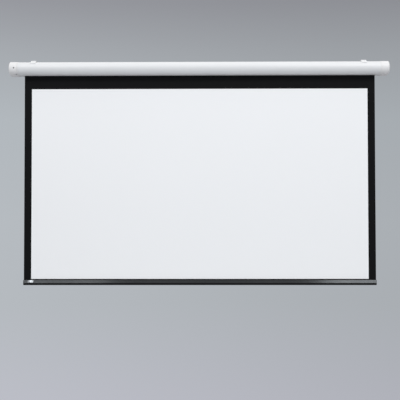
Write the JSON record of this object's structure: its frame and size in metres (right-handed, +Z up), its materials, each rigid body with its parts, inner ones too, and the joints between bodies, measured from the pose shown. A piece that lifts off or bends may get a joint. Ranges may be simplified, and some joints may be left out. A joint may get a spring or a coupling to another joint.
{
  "type": "motorized projection screen",
  "caption": "Motorized projection screen hung on a wall or ceiling: half-moon case with a tube-motor roller, and a black-bordered white sheet lowered through its slot by a weighted bar.",
  "frame": {"origin": "where the wall faces and the ceiling faces of the two brackets meet, in line with the middle of the screen sheet", "axes": "+X to the viewer's right along the roller, +Y into the wall, +Z up; the viewer looks along +Y"},
  "size_m": [2.637, 0.1095, 1.5566],
  "materials": {
    "white_case": "satin",
    "white_paint": "satin",
    "white_plastic": "satin",
    "zinc_steel": "satin",
    "bare_steel": "satin",
    "cast_aluminium": "matte",
    "raw_aluminium": "satin",
    "black_anodised": "satin",
    "plain_plate": "satin",
    "copper_winding": "satin",
    "black_plastic": "matte",
    "grey_plastic": "matte",
    "dark_plastic": "satin",
    "white_fabric": "matte",
    "black_fabric": "matte",
    "black_rubber": "matte"
  },
  "bodies": {
    "case": {"case_shell": "white_case", "left_end_cap": "white_plastic", "right_end_cap": "white_plastic", "left_cap_screw_upper": "zinc_steel", "left_cap_screw_lower": "zinc_steel", "right_cap_screw_upper": "zinc_steel", "right_cap_screw_lower": "zinc_steel", "left_end_plate": "zinc_steel", "right_end_plate": "zinc_steel", "left_plate_screw_top": "zinc_steel", "left_plate_screw_bottom": "zinc_steel", "left_plate_screw_front": "zinc_steel", "right_plate_screw_top": "zinc_steel", "right_plate_screw_bottom": "zinc_steel", "right_plate_screw_front": "zinc_steel", "left_bracket": "white_paint", "right_bracket": "white_paint", "left_clamp_jaw": "zinc_steel", "right_clamp_jaw": "zinc_steel", "left_clamp_bolt": "zinc_steel", "right_clamp_bolt": "zinc_steel", "motor_head": "grey_plastic", "motor_head_screw_upper": "zinc_steel", "motor_head_screw_lower": "zinc_steel", "limit_switch_unit": "black_plastic", "motor_tube": "bare_steel", "capacitor": "white_plastic", "stator": "copper_winding", "brake": "cast_aluminium", "gearbox": "cast_aluminium", "terminal_block": "white_plastic", "motor_lead": "black_rubber", "cable_gland": "black_plastic", "gland_nut": "black_plastic", "bearing_cup": "cast_aluminium", "idle_bearing": "bare_steel", "bearing_cup_screw_upper": "zinc_steel", "bearing_cup_screw_lower": "zinc_steel", "viewing_surface": "white_fabric", "black_drop": "black_fabric", "left_black_border": "black_fabric", "right_black_border": "black_fabric"},
    "motor_rotor": {"rotor": "bare_steel"},
    "roller": {"roller_tube": "raw_aluminium", "crown_ring": "black_plastic", "drive_wheel": "black_plastic", "drive_wheel_screw": "zinc_steel", "output_shaft": "bare_steel", "idle_plug": "black_plastic", "idle_pin": "bare_steel", "fabric_roll": "black_fabric"},
    "screen_bar": {"bottom_bar": "black_anodised", "left_bar_cap": "black_plastic", "right_bar_cap": "black_plastic", "hem_rod": "grey_plastic", "hem_strip": "black_fabric", "badge_plate": "plain_plate"},
    "front_limit": {"limit_screw_front": "dark_plastic"},
    "low_limit": {"limit_screw_low": "dark_plastic"}
  },
  "joints": [
    {"name": "motor_spin", "type": "hinge", "parent": "case", "child": "motor_rotor", "pos_m": [0, -0.0625, -0.0555], "axis": [1, 0, 0], "range_deg": [0, 271876]},
    {"name": "roller_spin", "type": "hinge", "parent": "case", "child": "roller", "pos_m": [0, -0.0625, -0.0555], "axis": [1, 0, 0], "range_deg": [0, 2832.05]},
    {"name": "screen_travel", "type": "slide", "parent": "case", "child": "screen_bar", "axis": [0, 0, 1], "range_m": [0, 1.4173], "deforming": ["viewing_surface", "black_drop", "left_black_border", "right_black_border"]},
    {"name": "front_limit_turn", "type": "hinge", "parent": "case", "child": "front_limit", "pos_m": [-1.2807, -0.0625, -0.0555], "axis": [0, -1, 0], "continuous": true},
    {"name": "low_limit_turn", "type": "hinge", "parent": "case", "child": "low_limit", "pos_m": [-1.267, -0.0625, -0.0555], "axis": [0, -0.3584, -0.9336], "continuous": true}
  ],
  "couplings": [
    {"joint": "roller_spin", "follows": "screen_travel", "rad_per_m": 34.875},
    {"joint": "motor_spin", "follows": "screen_travel", "rad_per_m": 3348}
  ]
}
